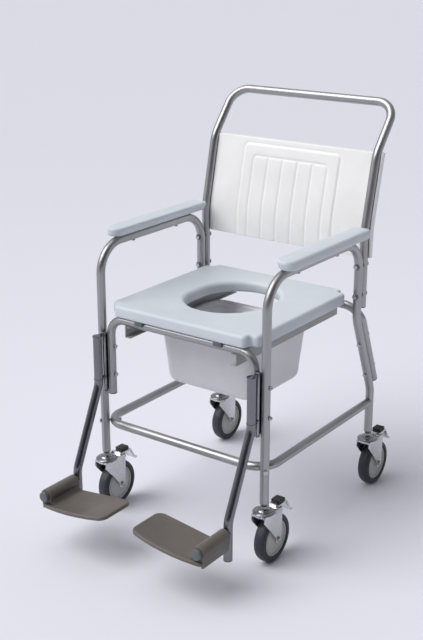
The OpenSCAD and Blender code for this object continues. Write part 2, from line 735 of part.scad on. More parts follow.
module pedal_insert() color("black") difference() {
    translate([insert_margin - pedal_w / 2, insert_y, pedal_z])
        cube([pedal_w - 2 * insert_margin, insert_l, insert_h]);
    for (y = [insert_y + groove_pitch : groove_pitch : insert_y + insert_l - groove_pitch / 2])
        translate([0, y, pedal_z + insert_h]) cube([pedal_w, groove[0], 2 * groove[1]], center = true);
}

module castor_piece(kind) {
    if (kind == "fork") fork();
    if (kind == "axle") axle();
    if (kind == "tyre") tyre();
    if (kind == "rim") rim();
    if (kind == "brake_pedal") brake_pedal();
    if (kind == "pedal_insert") pedal_insert();
}

placed() side_frame(-1);  // left_side_frame
placed() side_frame(1);  // right_side_frame
placed() back_frame();
placed() front_hoop();
placed() rear_hoop();
placed() lower_brace();
placed() back_panel();
placed() arm_pad_screws();
placed() back_saddles();
placed() back_frame_bolts();
placed() front_hoop_bolts();
placed() rear_hoop_bolts();
placed() brace_bolts();
placed() tube_end_plugs();
placed() runner_screws();
placed() castor_stems();
placed() seat();
placed() seat_clips();
placed() commode_pan();
for (s = SIDES) {
    placed() on_side(s[1]) arm_pad();
    placed() on_side(s[1]) pan_runner();
    placed() on_side(s[1]) hinge_bracket();
    placed() on_side(s[1]) hanger_tube();
    placed() on_side(s[1]) hinge_pin();
    placed() on_side(s[1]) hanger_plug();
    placed() on_side(s[1]) footplate();
    placed() on_side(s[1]) axle_cap();
}
for (c = CORNERS, p = CASTOR_PIECES)
    placed() translate(castor_at(c)) castor_piece(p);
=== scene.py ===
# Wheeled commode chair: finishes, padded pieces and detailed fittings round the fixed frame.
import json
import math

import bmesh
import bpy
from mathutils import Matrix, Vector

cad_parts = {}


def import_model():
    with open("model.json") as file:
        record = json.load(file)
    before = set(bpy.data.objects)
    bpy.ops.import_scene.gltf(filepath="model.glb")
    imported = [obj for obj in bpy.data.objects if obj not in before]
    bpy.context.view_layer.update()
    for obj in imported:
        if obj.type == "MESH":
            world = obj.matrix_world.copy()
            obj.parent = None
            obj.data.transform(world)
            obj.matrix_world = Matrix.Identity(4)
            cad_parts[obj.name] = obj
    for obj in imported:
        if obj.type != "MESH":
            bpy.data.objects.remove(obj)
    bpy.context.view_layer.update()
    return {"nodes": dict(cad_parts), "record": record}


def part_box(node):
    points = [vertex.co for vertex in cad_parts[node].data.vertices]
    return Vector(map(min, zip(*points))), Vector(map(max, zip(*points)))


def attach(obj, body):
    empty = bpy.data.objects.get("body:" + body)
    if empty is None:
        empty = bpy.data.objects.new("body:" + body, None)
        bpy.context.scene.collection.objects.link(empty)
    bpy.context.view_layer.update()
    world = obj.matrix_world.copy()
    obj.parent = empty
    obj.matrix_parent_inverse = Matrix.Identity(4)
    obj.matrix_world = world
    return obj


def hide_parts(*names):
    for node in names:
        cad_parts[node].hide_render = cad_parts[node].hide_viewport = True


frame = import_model()
nodes = frame["nodes"]
bodyOfNode = {n: body for body, members in frame["record"]["behaviour"]["bodies"].items() for n in members}
sides = ["left", "right"]
corners = ["front_left", "front_right", "rear_left", "rear_right"]
tiny = 0.00001  # points nearer than this are one point
print("frame loaded:", len(nodes), "nodes")


# view, light and floor

view = {"place": (1.6034, -2.2605, 1.5026), "azimuth": 35.96, "elevation": 19.22, "lens": 64.87,
        "sensor": 36, "farthest": 200}


def makeCamera():
    data = bpy.data.cameras.new("camera")
    data.lens = view["lens"]
    data.sensor_width = view["sensor"]
    data.clip_end = view["farthest"]
    camera = bpy.data.objects.new("camera", data)
    bpy.context.scene.collection.objects.link(camera)
    around, up = math.radians(view["azimuth"]), math.radians(view["elevation"])
    back = Vector((math.sin(around) * math.cos(up), -math.cos(around) * math.cos(up), math.sin(up)))
    camera.location = view["place"]
    camera.rotation_euler = (-back).to_track_quat("-Z", "Y").to_euler()
    bpy.context.scene.camera = camera
    bpy.context.scene.view_settings.view_transform = "Standard"  # whites stay white


studio = {
    "floor": (0.80, 0.80, 0.865), "floorSize": 60, "floorRough": 0.75, "floorShine": 0.15,
    "backdrop": (1.12, 1.12, 1.20), "skyStrength": 0.62,
    "bright": (0.92, 0.93, 1.0), "dark": (0.10, 0.102, 0.11), "darkSide": (0.85, -0.50, 0.0),
    "darkFrom": -0.5, "darkTo": 0.85, "lampsLookAt": (0, 0, 0.45),
    "sun": {"from": (-0.45, -0.66, 1.0), "strength": 2.1, "angle": 48},
    "lamps": [  # name, place, size, watts, colour
        ("overheadSoftbox", (-0.4, -0.2, 3.2), 2.0, 8, (1.0, 0.99, 0.97)),
        ("leftSoftbox", (-2.6, -2.4, 1.9), 1.6, 4, (0.98, 0.98, 1.0)),
        ("rightStrip", (3.2, 1.2, 1.6), 0.6, 3, (1.0, 0.98, 0.96)),
    ],
}


def aim(lamp, place, target):
    lamp.location = place
    lamp.rotation_euler = (Vector(target) - Vector(place)).to_track_quat("-Z", "Y").to_euler()


def makeStudio():
    deselect()
    bpy.ops.mesh.primitive_plane_add(size=studio["floorSize"])
    floor = bpy.context.object
    floor.name = "floor"
    paper = bpy.data.materials.new("paper floor")
    paper.use_nodes = True
    shader = paper.node_tree.nodes["Principled BSDF"]
    shader.inputs["Base Color"].default_value = (*studio["floor"], 1)
    shader.inputs["Roughness"].default_value = studio["floorRough"]
    shader.inputs["Specular IOR Level"].default_value = studio["floorShine"]
    floor.data.materials.append(paper)
    makeSky()
    sun = studio["sun"]
    lamps = [("sun", sun["from"], "SUN", sun["angle"], sun["strength"], (1, 1, 1))]
    lamps += [(name, place, "AREA", size, watts, colour)
              for name, place, size, watts, colour in studio["lamps"]]
    for name, place, kind, size, power, colour in lamps:
        data = bpy.data.lights.new(name, kind)
        if kind == "SUN":
            data.angle = math.radians(size)
        else:
            data.shape = "DISK"
            data.size = size
        data.energy = power
        data.color = colour
        lamp = bpy.data.objects.new(name, data)
        bpy.context.scene.collection.objects.link(lamp)
        aim(lamp, place, (0, 0, 0) if kind == "SUN" else studio["lampsLookAt"])


def makeSky():
    # bright all round but for a dark side, which metal mirrors; what the eye sees past the floor is plain
    world = bpy.data.worlds.new("studio")
    bpy.context.scene.world = world
    world.use_nodes = True
    tree = world.node_tree
    sky = tree.nodes["Background"]
    way = put(tree, "ShaderNodeTexCoord").outputs["Generated"]
    side = Vector(studio["darkSide"]).normalized()
    facing = put(tree, "ShaderNodeVectorMath", [(0, way), (1, side)],
                 operation="DOT_PRODUCT").outputs["Value"]
    shade = spread(tree, facing, studio["darkFrom"], studio["darkTo"])
    room = mixColour(tree, shade, studio["bright"], studio["dark"])
    seen = put(tree, "ShaderNodeLightPath").outputs["Is Camera Ray"]
    tree.links.new(mixColour(tree, seen, room, studio["backdrop"]), sky.inputs["Color"])
    sky.inputs["Strength"].default_value = studio["skyStrength"]


# modelling helpers


def deselect():
    if bpy.context.object and bpy.context.object.mode != "OBJECT":
        bpy.ops.object.mode_set(mode="OBJECT")
    bpy.ops.object.select_all(action="DESELECT")


def grab(piece):
    # makes piece the only selected object
    deselect()
    piece.select_set(True)
    bpy.context.view_layer.objects.active = piece


def outline(name, points):
    # a filled circle whose corners are pulled onto the outline
    deselect()
    bpy.ops.mesh.primitive_circle_add(vertices=len(points), fill_type="NGON")
    piece = bpy.context.object
    piece.name = name
    for vertex, point in zip(piece.data.vertices, points):
        vertex.co = point
    return piece


def rounded(points, steps=6):
    # points are (x, y, radius): each one with a radius is turned into an arc
    found = []
    for i, (x, y, radius) in enumerate(points):
        here = Vector((x, y))
        to = (Vector(points[i - 1][:2]) - here).normalized()
        on = (Vector(points[(i + 1) % len(points)][:2]) - here).normalized()
        if radius <= 0:
            found.append(here)
            continue
        half = to.angle(on) / 2
        centre = here + (to + on).normalized() * (radius / math.sin(half))
        first = here + to * (radius / math.tan(half)) - centre
        last = here + on * (radius / math.tan(half)) - centre
        swing = first.angle_signed(last)
        for k in range(steps + 1):
            turn = -swing * k / steps
            found.append(centre + Vector((first.x * math.cos(turn) - first.y * math.sin(turn),
                                          first.x * math.sin(turn) + first.y * math.cos(turn))))
    return found


def pick(piece, kind, test):
    # edit mode with the verts, edges or faces chosen that pass the test
    grab(piece)
    bpy.ops.object.mode_set(mode="EDIT")
    bpy.ops.mesh.select_mode(type={"verts": "VERT", "edges": "EDGE", "faces": "FACE"}[kind])
    bpy.ops.mesh.select_all(action="DESELECT")
    mesh = bmesh.from_edit_mesh(piece.data)
    for part in getattr(mesh, kind):
        if test(part):
            part.select_set(True)
    mesh.select_flush_mode()
    bmesh.update_edit_mesh(piece.data)


def thicken(piece, step):
    # pulls every face along step, which closes an outline into a slab
    pick(piece, "faces", lambda f: True)
    bpy.ops.mesh.extrude_region_move(TRANSFORM_OT_translate={"value": step})
    bpy.ops.mesh.select_all(action="SELECT")
    bpy.ops.mesh.normals_make_consistent(inside=False)
    bpy.ops.object.mode_set(mode="OBJECT")


def turnOut(piece):
    # every face of piece is made to look outwards
    pick(piece, "faces", lambda f: True)
    bpy.ops.mesh.normals_make_consistent(inside=False)
    bpy.ops.object.mode_set(mode="OBJECT")


def bevelEdges(piece, test, width, steps=3):
    pick(piece, "edges", test)
    bpy.ops.mesh.bevel(offset=width, segments=steps, affect="EDGES", clamp_overlap=True)
    bpy.ops.object.mode_set(mode="OBJECT")


def middle(part):
    return sum((v.co for v in part.verts), Vector()) / len(part.verts)


def folded(edge, angle=0.5):
    return len(edge.link_faces) == 2 and edge.calc_face_angle() > angle


def spun(name, profile, centre, axis, steps=64):
    # profile is a closed loop of (radius, distance along the axis)
    along = Vector({"X": (1, 0, 0), "Y": (0, 1, 0), "Z": (0, 0, 1)}[axis])
    out = Vector({"X": (0, 0, 1), "Y": (1, 0, 0), "Z": (1, 0, 0)}[axis])
    centre = Vector(centre)
    deselect()
    bpy.ops.mesh.primitive_circle_add(vertices=len(profile))
    piece = bpy.context.object
    piece.name = name
    for vertex, (radius, distance) in zip(piece.data.vertices, profile):
        vertex.co = centre + along * distance + out * radius
    bpy.ops.object.mode_set(mode="EDIT")
    bpy.ops.mesh.select_all(action="SELECT")
    bpy.ops.mesh.spin(steps=steps, angle=math.tau, center=centre, axis=along)
    bpy.ops.mesh.select_all(action="SELECT")
    bpy.ops.mesh.remove_doubles(threshold=0.00002)
    bpy.ops.mesh.delete_loose()
    bpy.ops.mesh.select_all(action="SELECT")
    bpy.ops.mesh.normals_make_consistent(inside=False)
    bpy.ops.object.mode_set(mode="OBJECT")
    return piece


def lofted(name, rings, closeStart=False):
    # a grid bent round so that each of its rows becomes one ring of the shape
    across, along = len(rings[0]), len(rings) - 1
    deselect()
    bpy.ops.mesh.primitive_grid_add(x_subdivisions=across, y_subdivisions=along, size=1)
    piece = bpy.context.object
    piece.name = name
    for vertex in piece.data.vertices:
        column = round((vertex.co.x + 0.5) * across) % across
        vertex.co = rings[round((vertex.co.y + 0.5) * along)][column]
    bpy.ops.object.mode_set(mode="EDIT")
    bpy.ops.mesh.select_all(action="SELECT")
    bpy.ops.mesh.remove_doubles(threshold=0.000001)
    bpy.ops.object.mode_set(mode="OBJECT")
    if closeStart:
        spots = [Vector(p) for p in rings[0]]
        pick(piece, "edges", lambda e: e.is_boundary and min((e.verts[0].co - p).length for p in spots) < tiny)
        bpy.ops.mesh.edge_face_add()
        bpy.ops.object.mode_set(mode="OBJECT")
    turnOut(piece)
    return piece


def modify(piece, kind, **settings):
    grab(piece)
    modifier = piece.modifiers.new(kind.lower(), kind)
    for key, value in settings.items():
        setattr(modifier, key, value)
    bpy.ops.object.modifier_apply(modifier=modifier.name)


def evenShading(piece):
    # flat faces stay flat to the eye beside their rounded edges
    modify(piece, "WEIGHTED_NORMAL", keep_sharp=True, weight=60)


def join(pieces, name):
    deselect()
    for piece in pieces:
        piece.select_set(True)
    bpy.context.view_layer.objects.active = pieces[0]
    if len(pieces) > 1:
        bpy.ops.object.join()
    bpy.context.object.name = name
    return bpy.context.object


def mirrored(piece, name):
    # the same piece on the other side of the chair
    grab(piece)
    bpy.ops.object.duplicate()
    other = bpy.context.object
    other.name = name
    other.data.transform(Matrix.Diagonal((-1, 1, 1, 1)))
    other.data.flip_normals()
    return other


def finishPiece(piece, node, material, angle=35):
    # gives a made piece its place, shading and finish, and lets it stand for the frame's node
    grab(piece)
    bpy.ops.object.transform_apply(location=True, rotation=True, scale=True)
    bpy.ops.object.shade_smooth_by_angle(angle=math.radians(angle))
    if material:
        piece.data.materials.clear()
        piece.data.materials.append(material)
    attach(piece, bodyOfNode[node])
    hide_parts(node)


def eased(node, width, steps=2, flatWithin=1.0, sharpFrom=40):
    # a finished copy of a frame node: its facets are joined up and its edges are broken
    grab(nodes[node])
    bpy.ops.object.duplicate()
    piece = bpy.context.object
    piece.parent = None
    for key in list(piece.keys()):
        del piece[key]
    piece.name = node + "_finished"
    bpy.ops.object.mode_set(mode="EDIT")
    bpy.ops.mesh.select_all(action="SELECT")
    bpy.ops.mesh.remove_doubles(threshold=tiny)
    bpy.ops.mesh.dissolve_limited(angle_limit=math.radians(flatWithin))
    bpy.ops.object.mode_set(mode="OBJECT")
    modify(piece, "BEVEL", width=width, segments=steps, limit_method="ANGLE",
           angle_limit=math.radians(sharpFrom), harden_normals=False, use_clamp_overlap=True)
    finishPiece(piece, node, None)  # it keeps the finish that it was copied with


slotOfNode = {p["node"]: p["material_slot"] for p in frame["record"]["subparts"]}
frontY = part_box("front_hoop")[0].y + 0.01125  # the plane of the front legs' centre lines
tubeR = 0.0111  # a 22.2 mm tube


# finishes


def newGroup(name, inputs, outputs):
    group = bpy.data.node_groups.new(name, "ShaderNodeTree")
    for label, value in inputs:
        socket = group.interface.new_socket(label, in_out="INPUT", socket_type="NodeSocketFloat")
        socket.default_value = value
    for label in outputs:
        group.interface.new_socket(label, in_out="OUTPUT", socket_type="NodeSocketFloat")
    return group, group.nodes.new("NodeGroupInput"), group.nodes.new("NodeGroupOutput")


def put(tree, kind, links=(), **settings):
    # adds a node; links are (input, value or socket that feeds it), settings are its options
    node = tree.nodes.new(kind)
    for key, value in settings.items():
        setattr(node, key, value)
    for key, value in links:
        if isinstance(value, bpy.types.NodeSocket):
            tree.links.new(value, node.inputs[key])
        else:
            node.inputs[key].default_value = value
    return node


def calc(tree, operation, a, b=0.5, clamp=False):
    return put(tree, "ShaderNodeMath", [(0, a), (1, b)], operation=operation, use_clamp=clamp).outputs[0]


def spread(tree, value, low, high, toLow=0.0, toHigh=1.0):
    node = put(tree, "ShaderNodeMapRange", [("Value", value), ("From Min", low), ("From Max", high),
                                            ("To Min", toLow), ("To Max", toHigh)])
    return node.outputs["Result"]


def noise(tree, place, scale, detail, distortion=0.0):
    return put(tree, "ShaderNodeTexNoise", [("Vector", place), ("Scale", scale), ("Detail", detail),
                                            ("Distortion", distortion)]).outputs["Fac"]


def makeGrainGroup():
    # fine moulded or cast grain: cells per metre in, height and tone out
    group, given, found = newGroup("fineGrain", [("Cells", 900.0)], ["Height", "Tone"])
    place = put(group, "ShaderNodeTexCoord").outputs["Object"]
    pits = put(group, "ShaderNodeTexVoronoi", [("Vector", place), ("Scale", given.outputs["Cells"])],
               feature="SMOOTH_F1").outputs["Distance"]
    cloud = noise(group, place, given.outputs["Cells"], 3.0)
    broad = noise(group, place, 9.0, 5.0)
    height = calc(group, "ADD", calc(group, "MULTIPLY", pits, 0.6), calc(group, "MULTIPLY", cloud, 0.4))
    group.links.new(height, found.inputs["Height"])
    group.links.new(spread(group, broad, 0.3, 0.7), found.inputs["Tone"])
    return group


def makeWearGroup():
    # where edges are rubbed: the true normal against a rounded one
    group, given, found = newGroup("edgeWear", [("Radius", 0.0015), ("Amount", 1.0)], ["Mask"])
    place = put(group, "ShaderNodeTexCoord").outputs["Object"]
    soft = put(group, "ShaderNodeBevel", [("Radius", given.outputs["Radius"])], samples=4).outputs["Normal"]
    true = put(group, "ShaderNodeNewGeometry").outputs["Normal"]
    same = put(group, "ShaderNodeVectorMath", [(0, soft), (1, true)],
               operation="DOT_PRODUCT").outputs["Value"]
    edge = spread(group, same, 0.995, 0.86)
    patchy = noise(group, place, 60.0, 4.0)
    mask = calc(group, "MULTIPLY", edge, spread(group, patchy, 0.35, 0.65))
    group.links.new(calc(group, "MULTIPLY", mask, given.outputs["Amount"], clamp=True), found.inputs["Mask"])
    return group


def makeDustGroup():
    # what settles on faces that look up, and the smears of wiping it off
    group, given, found = newGroup("settledDust", [("Amount", 0.3)], ["Mask", "Smear"])
    place = put(group, "ShaderNodeTexCoord").outputs["Object"]
    normal = put(group, "ShaderNodeNewGeometry").outputs["Normal"]
    up = put(group, "ShaderNodeSeparateXYZ", [(0, normal)]).outputs["Z"]
    fine = noise(group, place, 35.0, 8.0)
    long = put(group, "ShaderNodeMapping", [("Vector", place), ("Scale", (22.0, 5.0, 22.0)),
                                            ("Rotation", (0.0, 0.0, 0.6))]).outputs["Vector"]
    wiped = noise(group, long, 1.0, 6.0, 0.6)
    mask = calc(group, "MULTIPLY", spread(group, up, 0.2, 0.95), spread(group, fine, 0.4, 0.75))
    group.links.new(calc(group, "MULTIPLY", mask, given.outputs["Amount"], clamp=True), found.inputs["Mask"])
    group.links.new(spread(group, wiped, 0.3, 0.7), found.inputs["Smear"])
    return group


def makeScratchGroup():
    # thin scratches in two directions
    group, given, found = newGroup("fineScratches", [("Amount", 0.5)], ["Mask"])
    place = put(group, "ShaderNodeTexCoord").outputs["Object"]
    masks = []
    for turn in ((0.3, 0.2, 0.5), (0.9, -0.4, -0.7)):
        along = put(group, "ShaderNodeMapping", [("Vector", place), ("Rotation", turn),
                                                 ("Scale", (12.0, 420.0, 420.0))]).outputs["Vector"]
        masks.append(spread(group, noise(group, along, 1.0, 2.0), 0.68, 0.74))
    both = calc(group, "MAXIMUM", masks[0], masks[1])
    where = noise(group, place, 14.0, 2.0)
    mask = calc(group, "MULTIPLY", both, spread(group, where, 0.45, 0.6))
    group.links.new(calc(group, "MULTIPLY", mask, given.outputs["Amount"], clamp=True), found.inputs["Mask"])
    return group


groups = {"grain": makeGrainGroup(), "wear": makeWearGroup(), "dust": makeDustGroup(),
          "scratch": makeScratchGroup()}


def useGroup(tree, name, **values):
    node = tree.nodes.new("ShaderNodeGroup")
    node.node_tree = groups[name]
    for label, value in values.items():
        node.inputs[label].default_value = value
    return node.outputs


def startFinish(name, **sockets):
    material = bpy.data.materials.new(name)
    material.use_nodes = True
    shader = material.node_tree.nodes["Principled BSDF"]
    for label, value in sockets.items():
        shader.inputs[label.replace("_", " ")].default_value = value
    return material, material.node_tree, shader


def mixColour(tree, amount, a, b):
    node = put(tree, "ShaderNodeMix", data_type="RGBA")
    for socket, value in ((node.inputs[0], amount), (node.inputs[6], a), (node.inputs[7], b)):
        if isinstance(value, bpy.types.NodeSocket):
            tree.links.new(value, socket)
        else:
            socket.default_value = (*value, 1) if hasattr(value, "__len__") else value
    return node.outputs[2]


def bump(tree, shader, height, strength, distance=0.0005):
    node = put(tree, "ShaderNodeBump", [("Height", height), ("Strength", strength), ("Distance", distance)])
    tree.links.new(node.outputs["Normal"], shader.inputs["Normal"])


def satinMetal(name, colour, rough, cells=1500.0, wear=0.35, spangle=0.0):
    # anodised or plated metal: cloudy gloss, fine scratches, brighter rubbed edges
    material, tree, shader = startFinish(name, Metallic=1.0)
    grain = useGroup(tree, "grain", Cells=cells)
    scratch = useGroup(tree, "scratch", Amount=0.6)
    edges = useGroup(tree, "wear", Radius=0.0012, Amount=wear)
    dull = [c * 0.86 for c in colour]
    toned = mixColour(tree, grain["Tone"], dull, colour)
    if spangle:
        place = put(tree, "ShaderNodeTexCoord").outputs["Object"]
        cell = put(tree, "ShaderNodeTexVoronoi", [("Vector", place), ("Scale", 260.0)]).outputs["Color"]
        toned = mixColour(tree, spangle, toned, cell)
        toned = mixColour(tree, 0.5, toned, colour)
    bright = [min(1.0, c * 1.12) for c in colour]
    tree.links.new(mixColour(tree, edges["Mask"], toned, bright), shader.inputs["Base Color"])
    gloss = spread(tree, grain["Tone"], 0.0, 1.0, rough * 0.85, rough * 1.2)
    gloss = calc(tree, "ADD", gloss, calc(tree, "MULTIPLY", scratch["Mask"], 0.12))
    tree.links.new(gloss, shader.inputs["Roughness"])
    bump(tree, shader, calc(tree, "SUBTRACT", grain["Height"], scratch["Mask"]), 0.08, 0.0002)
    return material


dustColour = (0.62, 0.60, 0.58)


def mouldedPlastic(name, colour, rough, cells=1100.0, bumpiness=0.25, dust=0.25, scratches=0.4, pale=0.0,
                   wear=0.4, **sockets):
    # moulded plastic or vinyl: fine pitted grain, wiping smears, pale scuffs and edges
    material, tree, shader = startFinish(name, **sockets)
    grain = useGroup(tree, "grain", Cells=cells)
    settled = useGroup(tree, "dust", Amount=dust)
    scratch = useGroup(tree, "scratch", Amount=scratches)
    edges = useGroup(tree, "wear", Radius=0.002, Amount=wear)
    deep = [c * 0.93 for c in colour]
    toned = mixColour(tree, grain["Tone"], deep, colour)
    light = [c + (0.75 - c) * (0.35 + pale) for c in colour]
    marked = mixColour(tree, calc(tree, "MAXIMUM", scratch["Mask"], edges["Mask"]), toned, light)
    dusty = mixColour(tree, settled["Mask"], marked, dustColour)
    tree.links.new(dusty, shader.inputs["Base Color"])
    gloss = spread(tree, settled["Smear"], 0.0, 1.0, rough * 0.88, rough * 1.15)
    tree.links.new(calc(tree, "ADD", gloss, calc(tree, "MULTIPLY", scratch["Mask"], 0.1), clamp=True),
                   shader.inputs["Roughness"])
    bump(tree, shader, grain["Height"], bumpiness, 0.00025)
    return material


finishes = {
    "tube_aluminium": satinMetal("satin anodised tube", (0.42, 0.415, 0.42), 0.37),
    "chrome_steel": satinMetal("chrome plate", (0.32, 0.325, 0.335), 0.2, wear=0.1),
    # the hangers' chrome is the same plating as the other chrome but darker and bluer: painted dark reflection
    # of the surroundings
    "hanger_chrome": satinMetal("chrome with painted dark reflection", (0.22, 0.225, 0.24), 0.2, wear=0.1),
    "fork_steel": satinMetal("zinc plated steel", (0.68, 0.68, 0.69), 0.2, spangle=0.25),
    "fastener_steel": satinMetal("plated fasteners", (0.52, 0.52, 0.53), 0.24, wear=0.6),
    "pad_vinyl": mouldedPlastic("blue-grey moulded foam skin", (0.64, 0.69, 0.735), 0.46, cells=1300.0,
                                bumpiness=0.22, dust=0.06, scratches=0.12, wear=0.12, pale=0.2,
                                Subsurface_Weight=0.06, Subsurface_Scale=0.004),
    "panel_vinyl": mouldedPlastic("white vinyl", (0.93, 0.92, 0.905), 0.42, cells=1500.0, bumpiness=0.16,
                                  dust=0.0, scratches=0.05, wear=0.05),
    "pan_plastic": mouldedPlastic("pale grey polypropylene", (0.82, 0.82, 0.84), 0.36, cells=1700.0,
                                  bumpiness=0.08, dust=0.05, scratches=0.25, wear=0.15,
                                  Subsurface_Weight=0.1, Subsurface_Scale=0.006),
    "runner_plastic": mouldedPlastic("grey runner plastic", (0.36, 0.36, 0.35), 0.42, scratches=0.5),
    "footplate_plastic": mouldedPlastic("taupe moulded plastic", (0.142, 0.122, 0.105), 0.42, cells=800.0,
                                        bumpiness=0.35, dust=0.02, scratches=0.3, wear=0.3),
    "dark_plastic": mouldedPlastic("slate grey plastic", (0.115, 0.125, 0.135), 0.38, dust=0.1),
    "tyre_rubber": mouldedPlastic("blue-black tyre rubber", (0.028, 0.033, 0.043), 0.48, cells=600.0,
                                  bumpiness=0.3, dust=0.08, scratches=0.3, wear=0.15),
    "rim_plastic": mouldedPlastic("olive grey nylon", (0.56, 0.55, 0.515), 0.33, dust=0.08, scratches=0.3),
    "insert_rubber": mouldedPlastic("black rubber", (0.018, 0.018, 0.019), 0.5, cells=700.0, bumpiness=0.4,
                                    dust=0.08, scratches=0.2, wear=0.2),
}


def paint(*names):
    for name in names:
        mesh = nodes[name].data
        mesh.materials.clear()
        mesh.materials.append(finishes[slotOfNode[name]])


paint(*nodes)
print("finishes ready:", len(finishes))


# bent tubes

tubeRun = {"armBend": 0.075, "splayTop": 0.522, "splayLow": 0.297, "splayReach": 0.093, "leanFrom": 0.751,
           "kink": 0.940, "lean": 12.9, "handleLean": 39.0, "backBend": 0.08, "handleBend": 0.052,
           "frontBend": 0.045, "rearBend": 0.05, "braceBend": 0.057, "braceHeight": 0.258,
           "stepDegrees": 4.0, "sides": 14}


def bentPath(corners, bend):
    # 3-D corner points joined by arcs of one radius; bend may also be a list of radii
    found = [Vector(corners[0])]
    for i in range(1, len(corners) - 1):
        here = Vector(corners[i])
        radius = bend[i - 1] if hasattr(bend, "__len__") else bend
        to, on = (Vector(corners[i - 1]) - here).normalized(), (Vector(corners[i + 1]) - here).normalized()
        turn = math.pi - to.angle(on)
        reach = radius * math.tan(turn / 2)
        centre = here + (to + on).normalized() * (radius / math.cos(turn / 2))
        first = here + to * reach - centre
        axis = first.cross(here + on * reach - centre).normalized()
        count = max(2, round(math.degrees(turn) / tubeRun["stepDegrees"]))
        found += [centre + Matrix.Rotation(turn * k / count, 3, axis) @ first for k in range(count + 1)]
    return found + [Vector(corners[-1])]


def sweep(name, points, radius=tubeR):
    # a round tube along the points, as a bevelled curve turned into a mesh
    deselect()
    bpy.ops.curve.primitive_nurbs_path_add()
    piece = bpy.context.object
    piece.name = name
    line = piece.data
    line.splines.clear()
    spline = line.splines.new("POLY")
    spline.points.add(len(points) - 1)
    for spot, point in zip(spline.points, points):
        spot.co = (*point, 1)
    line.dimensions = "3D"
    line.bevel_depth = radius
    line.bevel_resolution = tubeRun["sides"]
    line.use_fill_caps = True
    bpy.ops.object.convert(target="MESH")
    return bpy.context.object


def makeTubes():
    run = tubeRun
    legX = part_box("right_side_frame")[1].x - tubeR
    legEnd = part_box("right_side_frame")[0].z
    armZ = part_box("right_side_frame")[1].z - tubeR
    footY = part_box("right_side_frame")[1].y - tubeR
    armEnd = footY - run["splayReach"]
    side = bentPath([(legX, frontY, legEnd), (legX, frontY, armZ), (legX, armEnd, armZ),
                     (legX, armEnd, run["splayTop"]), (legX, footY, run["splayLow"]), (legX, footY, legEnd)],
                    run["armBend"])
    right = sweep("right_side_tube", side)
    left = mirrored(right, "left_side_tube")
    finishPiece(right, "right_side_frame", finishes["tube_aluminium"])
    finishPiece(left, "left_side_frame", finishes["tube_aluminium"])

    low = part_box("back_frame")[0]
    uprightY = low.y + tubeR
    kinkY = uprightY + (run["kink"] - run["leanFrom"]) * math.tan(math.radians(run["lean"]))
    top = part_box("back_frame")[1]
    tilt = math.radians(run["handleLean"])
    barY, barZ = top.y - tubeR, top.z - tubeR
    bow = bentPath([(-legX, uprightY, low.z), (-legX, uprightY, run["leanFrom"]), (-legX, kinkY, run["kink"]),
                    (-legX, barY, barZ), (legX, barY, barZ), (legX, kinkY, run["kink"]),
                    (legX, uprightY, run["leanFrom"]), (legX, uprightY, low.z)],
                   [run["backBend"]] * 2 + [run["handleBend"]] * 2 + [run["backBend"]] * 2)
    finishPiece(sweep("back_tube", bow), "back_frame", finishes["tube_aluminium"])

    low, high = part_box("front_hoop")
    hoopX, railZ = high.x - tubeR, high.z - tubeR
    hoop = bentPath([(-hoopX, frontY, low.z), (-hoopX, frontY, railZ), (hoopX, frontY, railZ),
                     (hoopX, frontY, low.z)], run["frontBend"])
    finishPiece(sweep("front_hoop_tube", hoop), "front_hoop", finishes["tube_aluminium"])

    low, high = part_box("rear_hoop")
    splay = math.atan(run["splayReach"] / (run["splayTop"] - run["splayLow"]))
    endY = high.y - tubeR * math.cos(splay)
    endZ = low.z + tubeR * math.sin(splay)
    railY = endY - (railZ - endZ) * math.tan(splay)
    rear = bentPath([(-legX, endY, endZ), (-legX, railY, railZ), (legX, railY, railZ), (legX, endY, endZ)],
                    run["rearBend"])
    finishPiece(sweep("rear_hoop_tube", rear), "rear_hoop", finishes["tube_aluminium"])

    braceEnd = footY - tubeR / 3  # inside the rear leg's wall
    brace = bentPath([(-legX, braceEnd, run["braceHeight"]), (-legX, frontY, run["braceHeight"]),
                      (legX, frontY, run["braceHeight"]), (legX, braceEnd, run["braceHeight"])],
                     run["braceBend"])
    finishPiece(sweep("brace_tube", brace), "lower_brace", finishes["tube_aluminium"])


# seat and arm pads

seat = {"notch": 0.024, "corner": 0.012, "inside": 0.008, "edge": 0.0085, "under": 0.004,
        "holeWidth": 0.214, "holeLength": 0.262, "holeCentre": 0.221, "lip": 0.013, "lipUnder": 0.006,
        "flat": 0.006, "smooth": 60}


def seatOutline(inset):
    low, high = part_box("seat")
    x, front, back = high.x - inset, low.y + inset, high.y - inset
    notch, outside, inside = seat["notch"], max(0.001, seat["corner"] - inset), seat["inside"] + inset
    right = [(x - notch, front, outside), (x - notch, front + notch, inside), (x, front + notch, outside),
             (x, back - notch, outside), (x - notch, back - notch, inside), (x - notch, back, outside)]
    return rounded(right + [(-a, b, c) for a, b, c in reversed(right)])


def holeOutline(outset, steps=72):
    radius = seat["holeWidth"] / 2 + outset
    reach = (seat["holeLength"] - seat["holeWidth"]) / 2
    centreY = frontY + seat["holeCentre"]
    turns = [math.tau * (k + 0.5) / steps for k in range(steps)]
    return [Vector((radius * math.cos(a), centreY + radius * math.sin(a) + (reach if a < math.pi else -reach)))
            for a in turns]


def edgeProfile(low, high, under, over, flat, underSteps=4, overSteps=7):
    # (inset, height) from a flat strip below, round both edges, to a flat strip on top
    found = [(under + flat, low)]
    for k in range(underSteps + 1):
        a = math.pi / 2 * k / underSteps
        found.append((under * (1 - math.sin(a)), low + under * (1 - math.cos(a))))
    for k in range(overSteps + 1):
        a = math.pi / 2 * k / overSteps
        found.append((over * (1 - math.cos(a)), high - over * (1 - math.sin(a))))
    return found + [(over + flat, high)]


